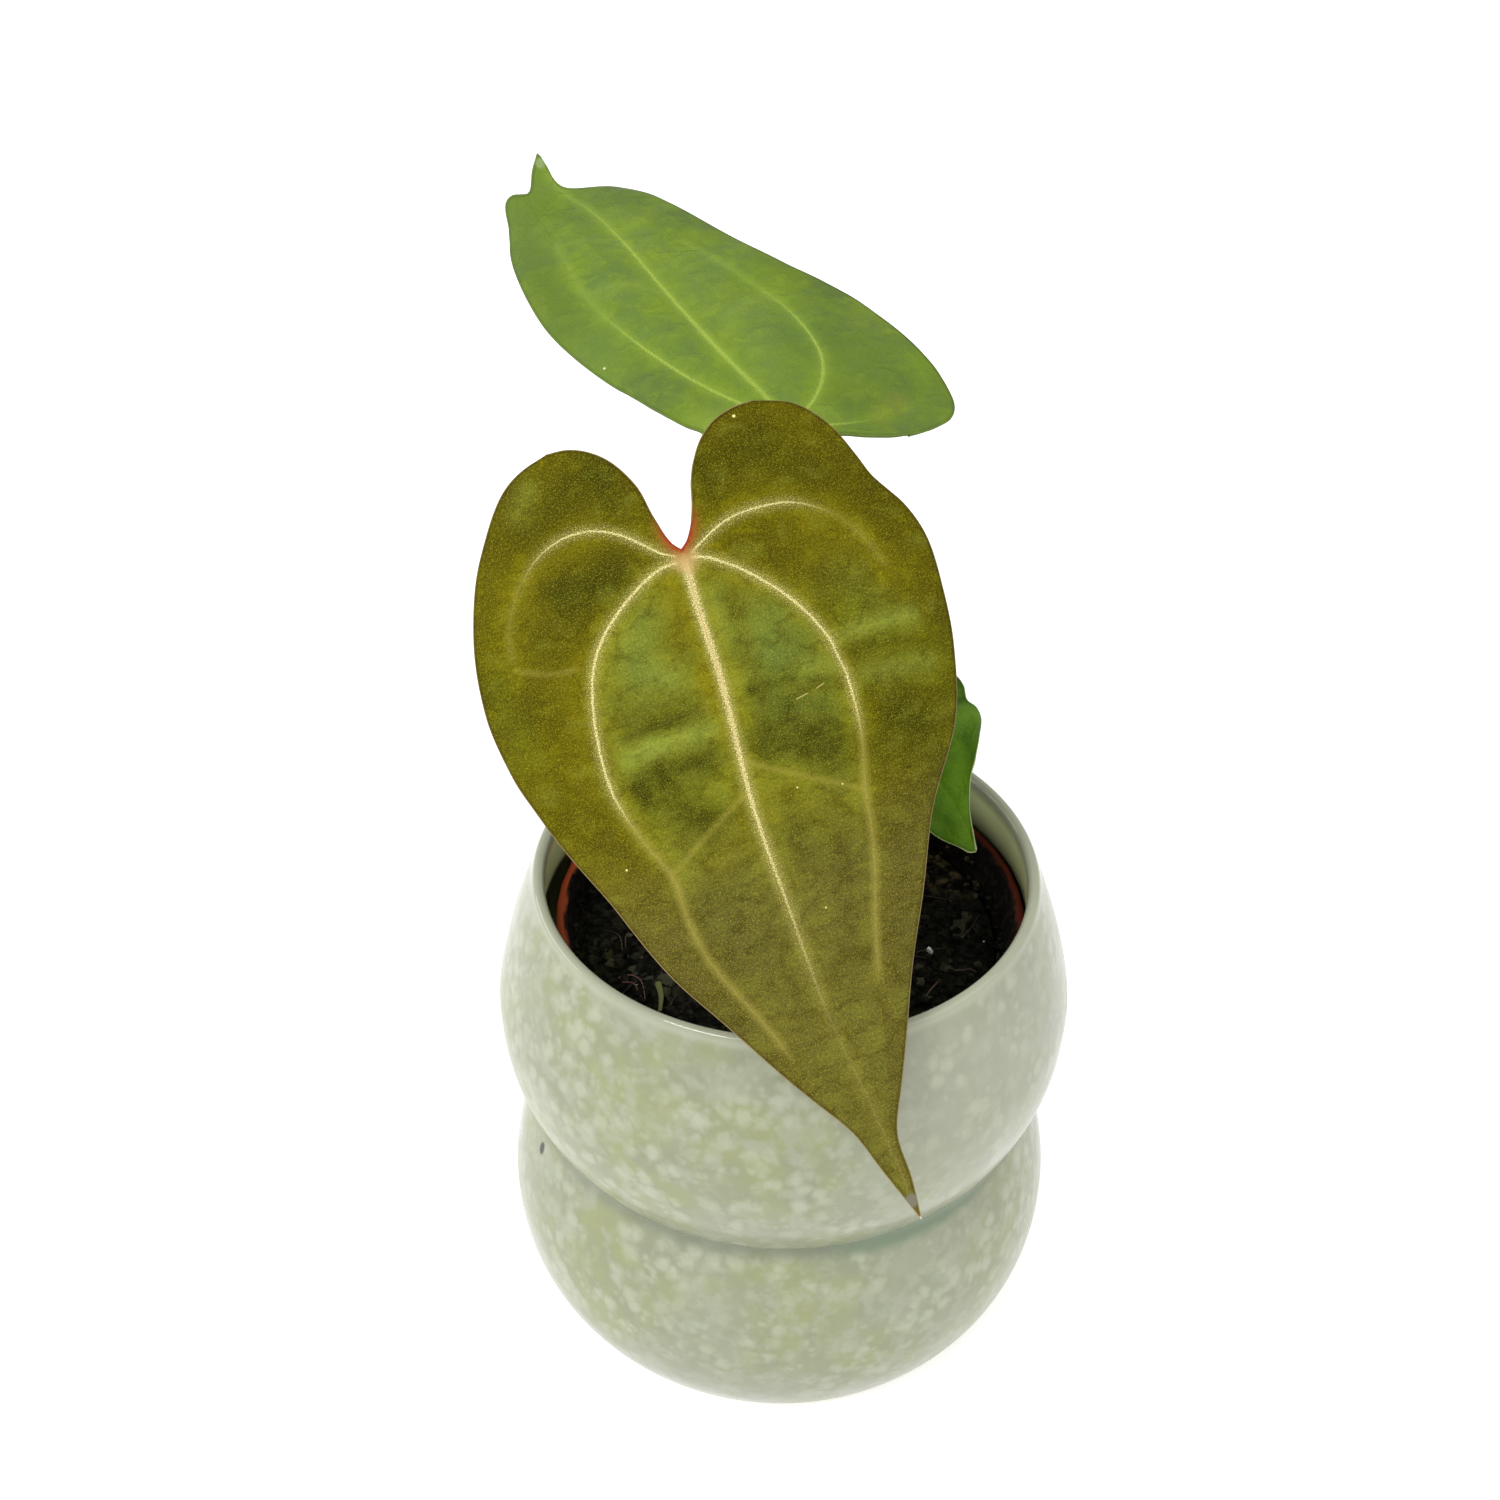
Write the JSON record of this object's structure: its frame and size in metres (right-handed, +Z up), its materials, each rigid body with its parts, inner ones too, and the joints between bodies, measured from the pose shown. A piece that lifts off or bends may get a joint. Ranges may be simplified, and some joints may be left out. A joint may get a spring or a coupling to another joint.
{
  "type": "potted anthurium hybrid",
  "caption": "Young velvet-leaved anthurium with heart-shaped, pale-veined leaves in a plastic nursery pot inside a two-tier celadon cover pot.",
  "frame": {"origin": "centre of the cover pot's flat foot, on the surface it stands on", "axes": "+Z up; the front leaf hangs towards -Y; the back leaf points towards +Y and -X"},
  "size_m": [0.1532, 0.2485, 0.2583],
  "materials": {
    "celadon_glaze": "glossy grey-green glaze with pale round specks",
    "terracotta_plastic": "thin moulded red-brown plastic",
    "potting_mix": "dark damp peat, bark chips and a few white grains",
    "crown": "green-brown, ringed by old leaf scars",
    "dry_sheath": "dry, papery and ribbed",
    "stem_bronze": "smooth and satin",
    "stem_green": "smooth and satin",
    "leaf_bronze": "velvety olive-bronze with cream-yellow veins",
    "leaf_green": "satin mid green with yellow-green veins",
    "leaf_young": "satin bright green"
  },
  "bodies": {
    "root": {"cover_pot": "celadon_glaze", "nursery_pot": "terracotta_plastic", "potting_mix": "potting_mix", "crown": "crown", "sheath_left": "dry_sheath", "sheath_right": "dry_sheath", "stem_front": "stem_bronze", "stem_back": "stem_green", "stem_side": "stem_green", "leaf_front": "leaf_bronze", "leaf_back": "leaf_green", "leaf_side": "leaf_young"}
  },
  "joints": []
}
